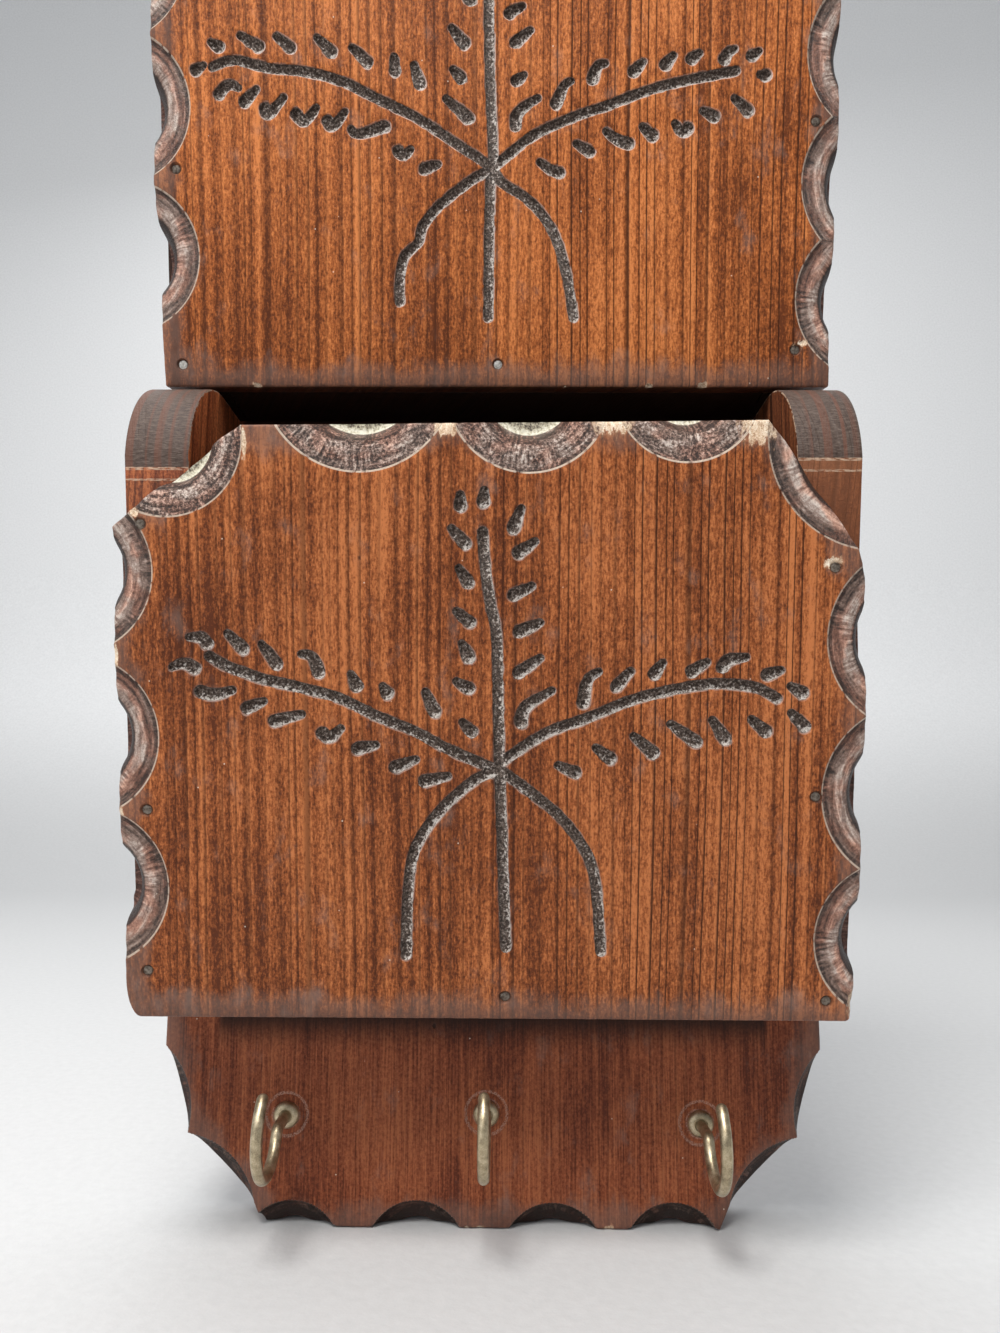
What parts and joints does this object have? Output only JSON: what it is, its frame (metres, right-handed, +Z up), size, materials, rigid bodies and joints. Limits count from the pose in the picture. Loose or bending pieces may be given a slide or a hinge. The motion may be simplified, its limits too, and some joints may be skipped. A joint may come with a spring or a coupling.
{
  "type": "mail sorter",
  "caption": "Wall-hung wooden mail sorter: a scalloped backboard with stacked wedge-shaped letter pockets and brass cup hooks for keys in the lip below.",
  "frame": {"origin": "middle of the backboard's rear face, on the centre line and halfway up the board", "axes": "+X to the right seen from the front, +Y out of the rear face into the wall, +Z up"},
  "size_m": [0.219, 0.0908, 0.53],
  "materials": {
    "stained_pine": "old reddish-brown stain under worn satin varnish, vertical grain",
    "pocket_pine": "darker stain, end grain on the rounded tops",
    "aged_brass": "dulled, grey-green in the hollows",
    "old_steel": "dull, set in the wood and partly stained over"
  },
  "bodies": {
    "root": {"backboard": "stained_pine", "lower_left_side": "pocket_pine", "lower_right_side": "pocket_pine", "lower_floor_board": "pocket_pine", "lower_front_panel": "stained_pine", "upper_left_side": "pocket_pine", "upper_right_side": "pocket_pine", "upper_floor_board": "pocket_pine", "upper_front_panel": "stained_pine", "cup_hook_left": "aged_brass", "cup_hook_middle": "aged_brass", "cup_hook_right": "aged_brass", "hook_collar_left": "aged_brass", "hook_collar_middle": "aged_brass", "hook_collar_right": "aged_brass", "lower_front_brad_left_1": "old_steel", "lower_front_brad_left_2": "old_steel", "lower_front_brad_left_3": "old_steel", "lower_front_brad_right_1": "old_steel", "lower_front_brad_right_2": "old_steel", "lower_front_brad_right_3": "old_steel", "lower_front_brad_floor": "old_steel", "upper_front_brad_left_1": "old_steel", "upper_front_brad_left_2": "old_steel", "upper_front_brad_left_3": "old_steel", "upper_front_brad_right_1": "old_steel", "upper_front_brad_right_2": "old_steel", "upper_front_brad_right_3": "old_steel", "upper_front_brad_floor": "old_steel", "lower_back_nail_left_1": "old_steel", "lower_back_nail_left_2": "old_steel", "lower_back_nail_left_3": "old_steel", "lower_back_nail_right_1": "old_steel", "lower_back_nail_right_2": "old_steel", "lower_back_nail_right_3": "old_steel", "lower_back_nail_floor_1": "old_steel", "lower_back_nail_floor_2": "old_steel", "upper_back_nail_left_1": "old_steel", "upper_back_nail_left_2": "old_steel", "upper_back_nail_left_3": "old_steel", "upper_back_nail_right_1": "old_steel", "upper_back_nail_right_2": "old_steel", "upper_back_nail_right_3": "old_steel", "upper_back_nail_floor_1": "old_steel", "upper_back_nail_floor_2": "old_steel"}
  },
  "joints": []
}
